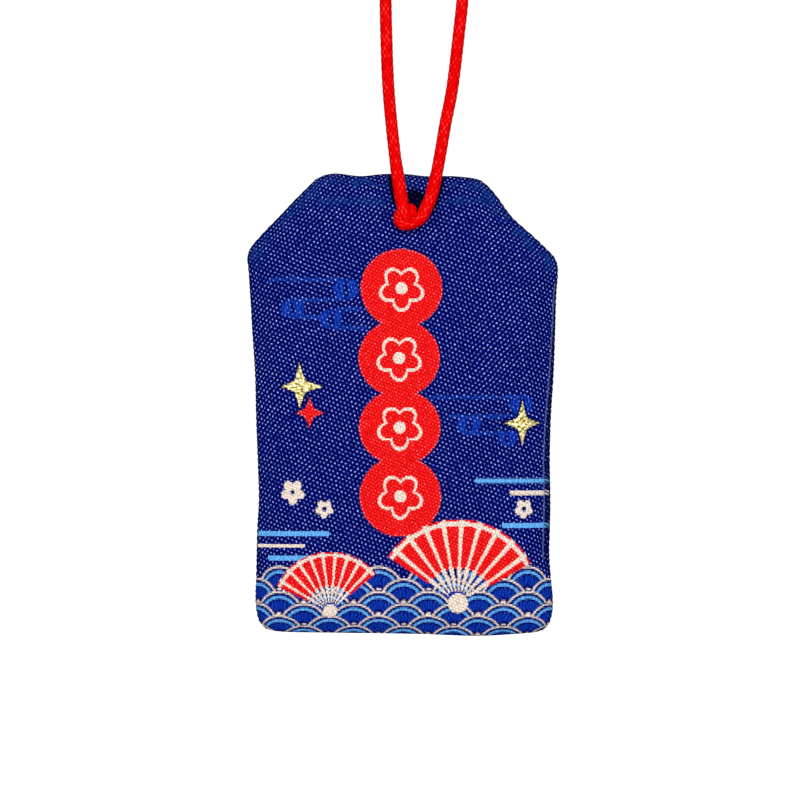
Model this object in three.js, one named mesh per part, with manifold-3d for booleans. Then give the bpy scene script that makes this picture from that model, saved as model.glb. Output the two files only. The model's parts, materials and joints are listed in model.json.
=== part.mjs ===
// Omamori charm: a brocade pouch hung on a loop of red braided cord.
// Millimetres, +Z up, the pouch's front towards -Y. The origin is the point where the loop hangs.
import * as THREE from 'three';
import { mergeVertices } from 'three/addons/utils/BufferGeometryUtils.js';
import Module from 'manifold-3d';

const wasm = await Module();
wasm.setup();

// Pouch outline
const POUCH_HEIGHT = 85;
const TOP_WIDTH = 29.5;
const SHOULDER_WIDTH = 58;
const BOTTOM_WIDTH = 54.5;
const SHOULDER_DROP = 16.4;
const TOP_RADIUS = 3.5;
const SHOULDER_RADIUS = 2.8;
const BOTTOM_RADIUS = 3.2;

// Pouch cloth: the edge's thickness, and how far in from the edge the cloth has risen to its flat middle
const CLOTH = 0.6;
const EDGE_THICKNESS = 2.2;
const CROWN_REACH = 13;
const SEAM_GAP = 0.3;
const SEAM_THREAD = 0.5;

// What the pouch holds, from front to back
const WADDING = 1.4;
const CARD = 1;
const PAPER = 0.25;
const SLIP = 0.4;
const SLIP_PLAY = 0.25;
const SLIP_RECESS = 2.5;

// Cord
const CORD = 2;
const LOOP_DROP = 80;
const KNOT_DROP = 7.6;
const KNOT_X = 0.4;
const KNOT_RADIUS = 2.5;
const KNOT_DEPTH = 4;
const HOLE_SPACING = 4.4;
const END_KNOT_RADIUS = 2.6;
const END_KNOT_HEIGHT = 5;
const END_KNOT_EDGE = 0.8;
const TAIL_LENGTH = 8;
const TAIL_SPREAD = 1.6;

// The gap between pieces that touch
const CLEARANCE = 0.3;

// Each strand's route above the front knot: across from the pouch's middle, and up from the knot's centre
const LEFT_ROUTE = [
  [-1, 7.1],
  [-1.6, 11.35],
  [-2.75, 23.2],
  [-3.2, 34.5],
  [-3.33, 40.2],
  [-3.7, 50],
  [-3.6, 58],
  [-2.9, 67],
  [-1.7, 75],
];
const RIGHT_ROUTE = [
  [4.25, 1.7],
  [4.83, 2.85],
  [5.94, 7.1],
  [7.05, 11.85],
  [9.07, 23.2],
  [10.35, 34.5],
  [11, 40.2],
  [11.1, 47],
  [9.9, 56],
  [7.2, 65],
  [3.7, 73],
  [1.5, 78],
];

// Facets
const CORNER_STEPS = 4;
const CROWN_STEPS = 6;
const LEAST_RADIUS = 0.2;
const CORD_SIDES = 8;
const THREAD_SIDES = 6;
const STRAND_STEPS = 28;
const BIGHT_STEPS = 16;
const SEAM_STEPS = 28;
const TAIL_STEPS = 4;
const HOLE_SIDES = 12;
const KNOT_SIDES = 20;
const KNOT_RINGS = 8;

// Sizes that follow from the ones above. The pouch swells over what it holds.
const cordRadius = CORD / 2;
const threadRadius = SEAM_THREAD / 2;
const edgeHalf = EDGE_THICKNESS / 2;
const sleeveDepth = SLIP + 2 * SLIP_PLAY + 2 * PAPER;
const cardFace = CARD / 2 + CLEARANCE;
const frontCrown = cardFace + WADDING + CLEARANCE + CLOTH - edgeHalf;
const backCrown = cardFace + sleeveDepth + CLEARANCE + CLOTH - edgeHalf;
const seamInset = CLOTH + CLEARANCE + threadRadius;
const cardInset = seamInset + threadRadius + CLEARANCE;
const waddingInset = cardInset + CLEARANCE;
const holeRadius = cordRadius + CLEARANCE;
const knotHalfDepth = KNOT_DEPTH / 2;
const knotY = -(crownHeight(KNOT_DROP, frontCrown) + CLEARANCE + knotHalfDepth);

// How far the cloth's outer face stands from the pouch's mid plane, at a distance in from the edge.
function crownHeight(inset, crown) {
  const rise = Math.acos(1 - Math.min(inset / CROWN_REACH, 1));
  return edgeHalf + crown * Math.sin(rise);
}

// The pouch's corners seen from the front, anticlockwise, with the middle of the top edge at 0, 0.
function pouchCorners() {
  const right = [
    { x: BOTTOM_WIDTH / 2, z: -POUCH_HEIGHT, radius: BOTTOM_RADIUS },
    { x: SHOULDER_WIDTH / 2, z: -SHOULDER_DROP, radius: SHOULDER_RADIUS },
    { x: TOP_WIDTH / 2, z: 0, radius: TOP_RADIUS },
  ];
  const left = right.map((corner) => ({ ...corner, x: -corner.x })).reverse();
  return [...right, ...left];
}

// A corner's place, and the inward normals of the two edges that meet there.
function cornerFrame(index) {
  const corners = pouchCorners();
  const corner = corners[index];
  const before = corners[(index + corners.length - 1) % corners.length];
  const after = corners[(index + 1) % corners.length];
  const point = new THREE.Vector2(corner.x, corner.z);
  const inward = (from, to) => {
    const edge = new THREE.Vector2(to.x - from.x, to.z - from.z).normalize();
    return new THREE.Vector2(-edge.y, edge.x);
  };
  const normalIn = inward(before, corner);
  const normalOut = inward(corner, after);
  const mitre = normalIn.clone().add(normalOut).divideScalar(1 + normalIn.dot(normalOut));
  return { point, normalIn, normalOut, mitre, radius: corner.radius };
}

// Where a corner comes to when both its edges move in by the same distance.
function insetCorner(index, inset) {
  const { point, mitre } = cornerFrame(index);
  return point.addScaledVector(mitre, inset);
}

// The pouch's outline with every edge moved in, as points with each corner rounded to an arc.
function insetOutline(inset) {
  return pouchCorners().flatMap((_, index) => {
    const { normalIn, normalOut, mitre, point, radius } = cornerFrame(index);
    const round = Math.max(radius - inset, LEAST_RADIUS);
    const centre = point.addScaledVector(mitre, inset + round);
    const start = Math.atan2(-normalIn.y, -normalIn.x);
    const turn = Math.acos(normalIn.dot(normalOut));
    return Array.from({ length: CORNER_STEPS + 1 }, (_step, step) => {
      const angle = start + (turn * step) / CORNER_STEPS;
      return new THREE.Vector2(Math.cos(angle), Math.sin(angle)).multiplyScalar(round).add(centre);
    });
  });
}

// A closed body through rings of the pouch's outline, each with its inset and its place along Y.
function loftRings(rings) {
  const outlines = rings.map(({ inset }) => insetOutline(inset));
  const count = outlines[0].length;
  const positions = [];
  outlines.forEach((outline, ring) => {
    outline.forEach((point) => positions.push(point.x, rings[ring].y, point.y));
  });
  const index = [];
  for (let ring = 0; ring + 1 < rings.length; ring += 1) {
    for (let side = 0; side < count; side += 1) {
      const here = ring * count + side;
      const next = ring * count + ((side + 1) % count);
      index.push(here, next, next + count, here, next + count, here + count);
    }
  }
  const middle = -POUCH_HEIGHT / 2;
  const firstCap = positions.length / 3;
  positions.push(0, rings[0].y, middle, 0, rings[rings.length - 1].y, middle);
  const lastRing = (rings.length - 1) * count;
  for (let side = 0; side < count; side += 1) {
    const next = (side + 1) % count;
    index.push(firstCap, next, side);
    index.push(firstCap + 1, lastRing + side, lastRing + next);
  }
  const geometry = new THREE.BufferGeometry();
  geometry.setAttribute('position', new THREE.Float32BufferAttribute(positions, 3));
  geometry.setIndex(index);
  return faceOutwards(geometry);
}

// Turns every triangle round if the closed body's faces point inwards.
function faceOutwards(geometry) {
  const place = geometry.getAttribute('position');
  const index = geometry.getIndex().array;
  const corner = [0, 1, 2].map(() => new THREE.Vector3());
  let volume = 0;
  for (let first = 0; first < index.length; first += 3) {
    corner.forEach((vector, offset) => vector.fromBufferAttribute(place, index[first + offset]));
    volume += corner[0].dot(corner[1].clone().cross(corner[2]));
  }
  if (volume < 0) {
    geometry.setIndex(Array.from(index).reverse());
  }
  geometry.computeVertexNormals();
  return geometry;
}

// Joins and cuts
function toSolid(geometry) {
  const bare = geometry.clone();
  bare.deleteAttribute('normal');
  bare.deleteAttribute('uv');
  const merged = mergeVertices(bare);
  const vertProperties = new Float32Array(merged.getAttribute('position').array);
  const triVerts = new Uint32Array(merged.getIndex().array);
  return new wasm.Manifold(new wasm.Mesh({ numProp: 3, vertProperties, triVerts }));
}

function toGeometry(solid) {
  const mesh = solid.getMesh();
  const geometry = new THREE.BufferGeometry();
  geometry.setAttribute('position', new THREE.BufferAttribute(new Float32Array(mesh.vertProperties), 3));
  geometry.setIndex(new THREE.BufferAttribute(new Uint32Array(mesh.triVerts), 1));
  geometry.computeVertexNormals();
  return geometry;
}

function join(geometries) {
  const solids = geometries.map(toSolid);
  return toGeometry(solids.reduce((whole, solid) => whole.add(solid)));
}

function cut(geometry, cutters) {
  return toGeometry(cutters.map(toSolid).reduce((whole, cutter) => whole.subtract(cutter), toSolid(geometry)));
}

// A round tube along a curve.
function tube(curve, radius, sides, steps) {
  const section = new THREE.Shape();
  for (let side = 0; side < sides; side += 1) {
    const angle = (2 * Math.PI * side) / sides;
    const point = [radius * Math.cos(angle), radius * Math.sin(angle)];
    if (side === 0) {
      section.moveTo(...point);
    } else {
      section.lineTo(...point);
    }
  }
  section.closePath();
  return new THREE.ExtrudeGeometry(section, { steps, bevelEnabled: false, extrudePath: curve });
}

function smoothCurve(points) {
  return new THREE.CatmullRomCurve3(points, false, 'centripetal');
}

// The two cord holes, long enough to go through the whole pouch.
function cordHoles() {
  const length = 2 * (edgeHalf + frontCrown + backCrown);
  return [-1, 1].map((side) => {
    const hole = new THREE.CylinderGeometry(holeRadius, holeRadius, length, HOLE_SIDES);
    return hole.translate(KNOT_X + (side * HOLE_SPACING) / 2, 0, -KNOT_DROP);
  });
}

// One panel of the pouch: a shallow tray of cloth, open towards the mid plane.
function pouchPanel(side, crown) {
  const angles = Array.from({ length: CROWN_STEPS + 1 }, (_, step) => (Math.PI / 2) * (step / CROWN_STEPS));
  const face = (angle, inset, start) => ({
    inset: inset + (CROWN_REACH - inset) * (1 - Math.cos(angle)),
    y: side * (start + crown * Math.sin(angle)),
  });
  const lining = angles.map((angle) => face(angle, CLOTH, edgeHalf - CLOTH)).reverse();
  const outside = angles.map((angle) => face(angle, 0, edgeHalf));
  const parting = (side * SEAM_GAP) / 2;
  return loftRings([...lining, { inset: CLOTH, y: parting }, { inset: 0, y: parting }, ...outside]);
}

// One strip of brocade, folded at the bottom and open along the sides and the mouth.
function brocadePouch() {
  const foldWidth = BOTTOM_WIDTH - 2 * BOTTOM_RADIUS;
  const fold = new THREE.BoxGeometry(foldWidth, SEAM_GAP + CLOTH, CLOTH);
  fold.translate(0, 0, -POUCH_HEIGHT + CLOTH / 2);
  const cloth = join([pouchPanel(-1, frontCrown), fold, pouchPanel(1, backCrown)]);
  return cut(cloth, cordHoles());
}

// The thread that closes one side, from the fold up and round the shoulder to the mouth.
function seamThread(side) {
  const [bottom, shoulder, top] = [0, 1, 2];
  const outline = insetOutline(seamInset);
  const perCorner = CORNER_STEPS + 1;
  const run = [
    outline[bottom * perCorner + CORNER_STEPS],
    ...outline.slice(shoulder * perCorner, (shoulder + 1) * perCorner),
    outline[top * perCorner],
  ];
  const points = run.map((point) => new THREE.Vector3(side * point.x, 0, point.y));
  return tube(smoothCurve(points), threadRadius, THREAD_SIDES, SEAM_STEPS);
}

// Soft filling in front of the card, flat behind and following the crown in front.
function frontWadding() {
  const rings = Array.from({ length: CROWN_STEPS + 1 }, (_, step) => {
    const angle = (Math.PI / 2) * (step / CROWN_STEPS);
    return {
      inset: waddingInset + (CROWN_REACH - waddingInset) * (1 - Math.cos(angle)),
      y: -(cardFace + WADDING * Math.sin(angle)),
    };
  });
  return cut(loftRings(rings), cordHoles());
}

function cardCore() {
  const card = loftRings([
    { inset: cardInset, y: -CARD / 2 },
    { inset: cardInset, y: CARD / 2 },
  ]);
  return cut(card, cordHoles());
}

// The flat part of the back, where the sleeve and its slip lie.
function sleeveSpace() {
  const bottom = insetCorner(0, CROWN_REACH);
  const shoulder = insetCorner(1, CROWN_REACH);
  return {
    halfWidth: Math.min(bottom.x, shoulder.x) - CLEARANCE,
    low: bottom.y + CLEARANCE,
    high: shoulder.y - CLEARANCE,
    near: cardFace,
    far: cardFace + sleeveDepth,
  };
}

// A box between two levels, centred across the pouch.
function slab(halfWidth, low, high, near, far) {
  const box = new THREE.BoxGeometry(2 * halfWidth, far - near, high - low);
  return box.translate(0, (near + far) / 2, (low + high) / 2);
}

// A folded paper sleeve, open at the top.
function talismanSleeve() {
  const { halfWidth, low, high, near, far } = sleeveSpace();
  const inside = slab(halfWidth - PAPER, low + PAPER, high + PAPER, near + PAPER, far - PAPER);
  return cut(slab(halfWidth, low, high, near, far), [inside]);
}

function talismanSlip() {
  const { halfWidth, low, high, near, far } = sleeveSpace();
  const margin = PAPER + SLIP_PLAY;
  return slab(halfWidth - margin, low + margin, high - SLIP_RECESS, near + margin, far - margin);
}

// The cord's bend behind the pouch, with its two legs coming forward through the holes to the knot.
function cordBight() {
  const reach = HOLE_SPACING / 2;
  const bendY = crownHeight(KNOT_DROP, backCrown) + CLEARANCE + cordRadius - reach;
  const legEdge = (reach - cordRadius) / KNOT_RADIUS;
  const legY = knotY + knotHalfDepth * Math.sqrt(1 - legEdge ** 2) + CLEARANCE;
  const path = new THREE.CurvePath();
  const at = (x, y) => new THREE.Vector3(KNOT_X + x, y, -KNOT_DROP);
  path.add(new THREE.LineCurve3(at(reach, legY), at(reach, bendY)));
  const bend = Array.from({ length: BIGHT_STEPS + 1 }, (_, step) => {
    const angle = (Math.PI * step) / BIGHT_STEPS;
    return at(reach * Math.cos(angle), bendY + reach * Math.sin(angle));
  });
  path.add(smoothCurve(bend));
  path.add(new THREE.LineCurve3(at(-reach, bendY), at(-reach, legY)));
  return tube(path, cordRadius, CORD_SIDES, BIGHT_STEPS);
}

// The half hitch on the pouch's front, round about the line that it is seen along.
function frontKnot() {
  const profile = Array.from({ length: KNOT_RINGS + 1 }, (_, ring) => {
    const angle = Math.PI * (ring / KNOT_RINGS - 1 / 2);
    const radius = KNOT_RADIUS * Math.cos(angle);
    return new THREE.Vector2(ring % KNOT_RINGS ? radius : 0, knotHalfDepth * Math.sin(angle));
  });
  return new THREE.LatheGeometry(profile, KNOT_SIDES);
}

// One side of the loop, from the front knot up to the point where the loop hangs.
function strand(route, side) {
  const depth = (height) => knotY * (1 - height / LOOP_DROP);
  const [first] = route;
  const lean = new THREE.Vector2(first[0] - KNOT_X, first[1]).setLength(KNOT_RADIUS + CLEARANCE);
  const start = [KNOT_X + lean.x, lean.y];
  const top = [side * (cordRadius + CLEARANCE / 2), LOOP_DROP];
  const points = [start, ...route, top].map(([x, height]) => {
    return new THREE.Vector3(x, depth(height), height - LOOP_DROP);
  });
  return tube(smoothCurve(points), cordRadius, CORD_SIDES, STRAND_STEPS);
}

// The knot that ties the cord's two ends together above the hanging point, with the ends standing up from it.
function endKnot() {
  const low = CLEARANCE;
  const high = CLEARANCE + END_KNOT_HEIGHT;
  const inner = END_KNOT_RADIUS - END_KNOT_EDGE;
  const profile = [
    new THREE.Vector2(0, low),
    new THREE.Vector2(inner, low),
    new THREE.Vector2(END_KNOT_RADIUS, low + END_KNOT_EDGE),
    new THREE.Vector2(END_KNOT_RADIUS, high - END_KNOT_EDGE),
    new THREE.Vector2(inner, high),
    new THREE.Vector2(0, high),
  ];
  const knot = new THREE.LatheGeometry(profile, KNOT_SIDES).rotateX(Math.PI / 2);
  const tails = [-1, 1].map((side) => {
    const foot = side * (cordRadius + CLEARANCE / 2);
    const points = [
      new THREE.Vector3(foot, 0, high - END_KNOT_HEIGHT / 2),
      new THREE.Vector3(foot, 0, high),
      new THREE.Vector3(foot + side * TAIL_SPREAD, 0, high + TAIL_LENGTH),
    ];
    return tube(smoothCurve(points), cordRadius, CORD_SIDES, TAIL_STEPS);
  });
  return join([knot, ...tails]);
}

// Materials
const finish = (color, roughness) => new THREE.MeshStandardMaterial({ color, roughness, metalness: 0 });
const brocade = () => finish(0x1b2a86, 0.6);
const cord = () => finish(0xd3121c, 0.65);
const navyThread = () => finish(0x18246e, 0.7);
const cotton = () => finish(0xece7da, 0.95);
const board = () => finish(0xcdbf9f, 0.9);
const paper = () => finish(0xf2eee2, 0.9);

function piece(name, geometry, material) {
  const mesh = new THREE.Mesh(geometry, material);
  mesh.name = name;
  return mesh;
}

// The loop hangs, the front knot nods on it, and the pouch swings on the knot.
const loop = new THREE.Group();
loop.add(piece('left_strand', strand(LEFT_ROUTE, -1), cord()));
loop.add(piece('right_strand', strand(RIGHT_ROUTE, 1), cord()));
loop.add(piece('end_knot', endKnot(), cord()));

const knot = new THREE.Group();
knot.position.set(KNOT_X, knotY, -LOOP_DROP);
knot.add(piece('front_knot', frontKnot(), cord()));

const pouch = new THREE.Group();
pouch.position.set(0, 0, KNOT_DROP - LOOP_DROP);
pouch.add(piece('brocade_pouch', brocadePouch(), brocade()));
pouch.add(piece('left_seam_thread', seamThread(-1), navyThread()));
pouch.add(piece('right_seam_thread', seamThread(1), navyThread()));
pouch.add(piece('front_wadding', frontWadding(), cotton()));
pouch.add(piece('card_core', cardCore(), board()));
pouch.add(piece('talisman_sleeve', talismanSleeve(), paper()));
pouch.add(piece('talisman_slip', talismanSlip(), paper()));
pouch.add(piece('cord_bight', cordBight(), cord()));

const charm = new THREE.Group();
charm.add(loop, knot, pouch);

export default charm;
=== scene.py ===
"""Dresses the omamori charm: braided cord, knots, a brocade pouch and what it holds, on a pale stage."""
import json
import math

import bpy
import numpy as np
from bpy.props import FloatProperty, FloatVectorProperty, IntProperty, PointerProperty
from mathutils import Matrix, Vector
from mathutils.kdtree import KDTree


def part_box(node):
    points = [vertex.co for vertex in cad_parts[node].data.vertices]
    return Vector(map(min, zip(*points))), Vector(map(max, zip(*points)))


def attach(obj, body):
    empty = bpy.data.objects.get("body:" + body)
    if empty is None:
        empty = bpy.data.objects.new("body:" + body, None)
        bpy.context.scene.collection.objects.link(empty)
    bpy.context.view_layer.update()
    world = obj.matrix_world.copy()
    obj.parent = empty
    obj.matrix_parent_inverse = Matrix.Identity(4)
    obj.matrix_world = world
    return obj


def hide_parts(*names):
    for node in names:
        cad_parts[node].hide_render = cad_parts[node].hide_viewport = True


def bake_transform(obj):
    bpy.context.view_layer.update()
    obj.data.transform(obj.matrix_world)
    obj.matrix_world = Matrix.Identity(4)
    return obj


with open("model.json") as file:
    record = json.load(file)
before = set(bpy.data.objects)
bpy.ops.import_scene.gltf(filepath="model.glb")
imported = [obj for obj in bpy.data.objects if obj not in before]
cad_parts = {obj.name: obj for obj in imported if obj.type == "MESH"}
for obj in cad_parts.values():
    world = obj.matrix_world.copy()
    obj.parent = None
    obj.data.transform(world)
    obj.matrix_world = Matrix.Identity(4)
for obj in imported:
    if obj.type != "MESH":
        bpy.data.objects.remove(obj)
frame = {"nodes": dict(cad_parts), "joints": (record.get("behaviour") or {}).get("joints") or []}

bl_info = {
    "name": "Omamori charm",
    "version": (1, 0, 0),
    "blender": (4, 5, 0),
    "location": "View3D > Sidebar > Charm",
    "description": "Builds a hanging brocade charm with its braided cord, piece by piece",
    "category": "Add Mesh",
}

MM = 0.001

# Places in the frame, in millimetres. The pouch's own drawing has its top edge at height 0.
KNOT = np.array(frame["joints"][0]["pos_m"]) / MM
POUCH_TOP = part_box("brocade_pouch")[1].z / MM
HANG_DROP = -KNOT[2]

# Each strand's route above the front knot: across from the pouch's middle, and up from the knot's centre.
LEFT_ROUTE = [
    (-1, 7.1),
    (-1.6, 11.35),
    (-2.75, 23.2),
    (-3.2, 34.5),
    (-3.33, 40.2),
    (-3.7, 50),
    (-3.6, 58),
    (-2.9, 67),
    (-1.7, 75),
]
RIGHT_ROUTE = [
    (4.25, 1.7),
    (4.83, 2.85),
    (5.94, 7.1),
    (6.85, 11.85),
    (7.68, 16.8),
    (8.93, 23.2),
    (10.31, 34.5),
    (10.9, 40.2),
    (11.1, 47),
    (9.9, 56),
    (7.2, 65),
    (3.7, 73),
    (1.5, 78),
]
STRAND_TOP_X = 1.15

# The half hitch: across from the pouch's middle, depth, and up from the knot's centre.
LEFT_TUCK = [
    (-0.35, -5.0, 2.9),
    (-0.05, -5.15, 1.5),
    (0.2, -5.2, 0.4),
    (0.35, -4.9, -0.55),
    (0.5, -3.9, -1.2),
    (0.6, -2.4, -1.35),
    (0.65, -1.0, -1.4),
]
RIGHT_HITCH = [
    (3.82, -5.45, 0.65),
    (3.25, -5.7, -0.35),
    (2.35, -6.05, -1.1),
    (1.2, -6.3, -1.5),
    (0.1, -6.3, -1.65),
    (-0.6, -5.8, -1.2),
    (-0.85, -4.9, -0.4),
    (-0.55, -3.7, 0.6),
    (0.45, -3.1, 1.1),
    (1.2, -3.6, 1.4),
    (1.48, -4.2, 0.95),
    (1.5, -3.9, 0.0),
    (1.55, -2.6, -0.5),
    (1.6, -1.0, -0.5),
]

# Each side of the loop: its route, its hanging end, its way through the hitch, and how much wider it is
# where it is pressed on the hem.
CORD_SIDES = (
    (LEFT_ROUTE, -STRAND_TOP_X, LEFT_TUCK, 0.08),
    (RIGHT_ROUTE, STRAND_TOP_X, RIGHT_HITCH, 0.06),
)

# How long each strand is pressed on the hem, and how much thinner the cord is in the tight hitch.
PRESSED_LENGTH = 8
TIGHT_SHARE = 0.08

# The crease in the cloth along each strand's outer side: across from the strand's middle, and half width.
CREASES = ((-1.4, 0.55), (1.35, 0.42))

# How far round the knot the cloth is held and the wadding is thin.
TIED_REACH = 8

# Spacing of the points along a cord or a thread, and along the pouch's outline.
CORD_STEP = 0.16
OUTLINE_STEP = 0.15

# The pouch's drawing, in millimetres: height from the top edge, then the left and right edges there.
SIDE_EDGES = [
    (-85.0, -21.6, 24.0),
    (-84.5, -24.9, 25.7),
    (-83.6, -26.1, 26.7),
    (-82.2, -26.9, 27.3),
    (-79.0, -27.4, 27.7),
    (-74.5, -27.3, 27.3),
    (-70.0, -27.2, 27.0),
    (-65.5, -27.1, 27.1),
    (-60.0, -26.8, 27.2),
    (-53.0, -27.0, 27.1),
    (-45.0, -27.3, 27.3),
    (-37.0, -27.5, 27.8),
    (-29.0, -28.0, 28.1),
    (-22.0, -28.4, 28.3),
    (-17.0, -28.75, 28.6),
    (-15.2, -28.95, 28.1),
    (-13.6, -28.5, 26.6),
    (-11.0, -26.4, 23.9),
    (-7.5, -23.0, 20.0),
    (-4.0, -19.7, 17.5),
    (-1.7, -17.3, 15.6),
    (-0.6, -16.1, 14.4),
    (0.0, -14.6, 12.6),
]

# How far the mouth and the fold rise from level: place across, and rise.
TOP_WAVE = [
    (-14.6, 0.2),
    (-12.6, 0.5),
    (-8.0, 0.0),
    (-3.5, 0.4),
    (0.8, 0.35),
    (4.0, 0.0),
    (9.0, 0.0),
    (12.6, -0.3),
]
FOLD_WAVE = [(-21.6, 0.5), (-10.0, 0.35), (3.0, 0.15), (14.0, -0.2), (20.0, 0.1), (24.0, 0.4)]

# How the cloth turns in at each kind of edge, from the seam outwards: distance in from the edge, and depth.
SIDE_TURN = [(0.55, 0.0), (0.3, 0.1), (0.1, 0.25), (0.0, 0.48), (0.03, 0.74), (0.18, 1.0), (0.42, 1.26)]
FOLD_TURN = [(0.1, 0.0), (0.05, 0.2), (0.01, 0.38), (0.0, 0.55), (0.05, 0.78), (0.18, 1.02), (0.42, 1.27)]
MOUTH_TURN = [(2.4, 0.0), (1.2, 0.13), (0.35, 0.16), (0.07, 0.34), (0.0, 0.64), (0.15, 1.0), (0.42, 1.26)]

# How far in from the edge the panel's crown takes over from the turned edge.
CROWN_START = 0.75

# The cloth's design, in millimetres: across from the pouch's middle, and up from its top edge.
# A disc has its centre and its half height.
DISCS = [
    ((-0.37, -20.93), 7.3),
    ((-0.8, -33.8), 7.1),
    ((-0.7, -46.56), 6.95),
    ((-0.6, -59.25), 7.4),
]
DISC_HALF_WIDTH = 7.5

# A star has its centre, its reach to the left, right, top and bottom, and its waist as a share of its reach.
GOLD_STARS = [
    ((-19.2, -39.03), (3.58, 4.45, 4.35, 3.95), 0.25),
    ((22.04, -45.8), (3.45, 3.45, 4.1, 4.1), 0.25),
]
RED_STAR = ((-17.38, -43.86), (2.46, 2.74, 2.83, 2.83), 0.3)

# A curl or blossom has its centre and its radius, and a bar its two ends, its height and its half thickness.
CLOUD_CURLS = [
    ((-10.54, -21.13), 2.25),
    ((-20.48, -24.67), 2.05),
    ((-13.3, -26.6), 2.1),
    ((21.8, -42.4), 2.1),
    ((12.1, -46.2), 2.1),
    ((19.2, -48.6), 1.8),
]
CLOUD_BARS = [
    (-24.6, -11.5, -19.3, 0.3),
    (-20.0, -11.5, -23.0, 0.3),
    (-19.8, -14.5, -26.2, 0.3),
    (-12.5, -8.0, -24.8, 0.3),
    (-12.5, -7.0, -28.2, 0.3),
    (4.9, 21.0, -41.0, 0.3),
    (8.5, 20.5, -44.5, 0.3),
    (13.0, 18.0, -47.6, 0.3),
]
WAVE_RADIUS = 4.6
WAVE_TOP = -76.6
SKY_BARS = [
    (-27.5, -14.0, -66.2, 0.42),
    (-25.0, -10.5, -70.6, 0.42),
    (13.5, 27.5, -56.4, 0.42),
    (18.5, 27.5, -64.6, 0.42),
]
CREAM_BARS = [
    (-27.5, -18.5, -68.4, 0.38),
    (20.0, 27.5, -58.6, 0.38),
]
BLOSSOMS = [((-20.5, -58.5), 2.3), ((-14.6, -61.6), 1.7), ((22.3, -61.6), 1.8)]

# A fan has the centre that it opens about, its radius, and the angles of its two sides.
FANS = [
    ((10.0, -79.0), 15.5, 0.5, 2.55),
    ((-13.5, -80.5), 11.0, 0.7, 2.7),
]

# Spacing of the picks and ends that the design is woven in, in millimetres.
PICK = 0.3
END = 0.12

# The weave's three crossing sets of waves: how many there are in a millimetre, across and up.
LATTICE = ((0.51, 1.27), (0.972, -0.891), (1.482, 0.379))

# Places where the weave's dots draw out into stripes, and one where they lie in level rows. Each has its
# centre and its half size across and up.
STRIPED_PLACES = [
    ((-14.0, -7.0), 11.0, 6.0),
    ((-26.5, -42.0), 3.6, 34.0),
    ((20.0, -15.0), 7.0, 7.0),
    ((18.0, -30.0), 5.0, 9.0),
    ((6.5, -11.5), 5.0, 2.2),
]
LEVEL_PLACE = ((-16.5, -18.0), 8.0, 3.5)

# Millimetres to one unit of a UV map, along a cord or thread and over the cloth, and how far the back panel
# lies from the front one in the cloth's map.
CORD_UV = 10.0
CLOTH_UV = 100.0
BACK_SHIFT = 3.0

# The corners of one cell of a grid, up and over from its first.
CELL_CORNERS = ((0, 0), (0, 1), (1, 1), (1, 0))

# Spare cloth that is eased into the edge, and how far in from it that reaches.
EASE = 0.7
EASE_REACH = 1.7

# Width and height that the cloth's points are counted for, without its turned edges, and how far the edge
# stands from the mid plane.
CLOTH_SPAN = (57, 87)
RIM = 1.12

# The cloth settles at twenty times its size, where the simulation keeps steady.
SETTLE_SCALE = 20
SETTLE_FRAMES = 18

# How deep each kind of unevenness goes into the cloth, and how far the panels stay apart for the filling.
HEM_DEPTH = 0.2
PUCKER_DEPTH = 0.1
SWELL_HEIGHT = 0.07
DIMPLE_DEPTH = 0.7
POCKET_DEPTH = 1.15
PLEAT_DEPTH = 0.1
CREASE_DEPTH = 0.6
TOOTH_LENGTH = 0.08
FILLING_DEPTH = 1.2

# One side stitch: how far in from the edge, and how deep, its points are.
STITCH_POINTS = ((0.45, -0.62), (0.14, -0.36), (0.1, 0.0), (0.14, 0.36), (0.45, 0.62))
STITCH_SLANT = 0.35

# Each plain filling: the node, its material's name, dark and light colours, scale of fibres, and roughness.
PLAIN_FILLINGS = (
    ("card_core", "grey_board", (0.42, 0.33, 0.2), (0.6, 0.5, 0.33), 2600.0, 0.85),
    ("talisman_sleeve", "sleeve_paper", (0.8, 0.77, 0.68), (0.9, 0.88, 0.81), 3400.0, 0.75),
    ("talisman_slip", "slip_paper", (0.84, 0.81, 0.73), (0.93, 0.91, 0.85), 4200.0, 0.7),
)

# The wadding sheet's points across and up, and how far in from the pouch's edge it lies.
WADDING_COLUMNS = 40
WADDING_ROWS = 60
WADDING_INSET = 2.4


def size_property(name, description, default):
    return FloatProperty(
        name=name,
        description=description,
        default=default,
        min=0.0,
        unit="LENGTH",
        precision=5,
    )


def colour_property(name, description, default):
    return FloatVectorProperty(
        name=name,
        description=description,
        default=default,
        min=0.0,
        max=1.0,
        subtype="COLOR",
    )


class CharmSizes(bpy.types.PropertyGroup):
    """Sizes of the charm's soft pieces."""

    cord: size_property("Cord", "Thickness of the braided cord", 0.0022)
    carriers: IntProperty(
        name="Carriers",
        description="Yarns of the braid that wind each way",
        default=8,
        min=3,
    )
    braid_step: size_property("Braid step", "Length of one crossing along the cord", 0.00145)
    braid_relief: size_property("Braid relief", "How far a yarn stands up", 0.00008)
    cloth_step: size_property("Cloth step", "Spacing of the cloth's points", 0.0009)
    crown: size_property("Crown", "Rise of the pouch from its edge", 0.00175)
    crown_reach: size_property("Crown reach", "How far in from the edge the rise ends", 0.013)
    swell_cap: size_property("Swell cap", "Most that the cloth may move as it settles", 0.0005)
    stitch: size_property("Stitch", "Spacing of the side stitches", 0.0019)
    thread: size_property("Thread", "Thickness of the sewing thread", 0.00026)


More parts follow.
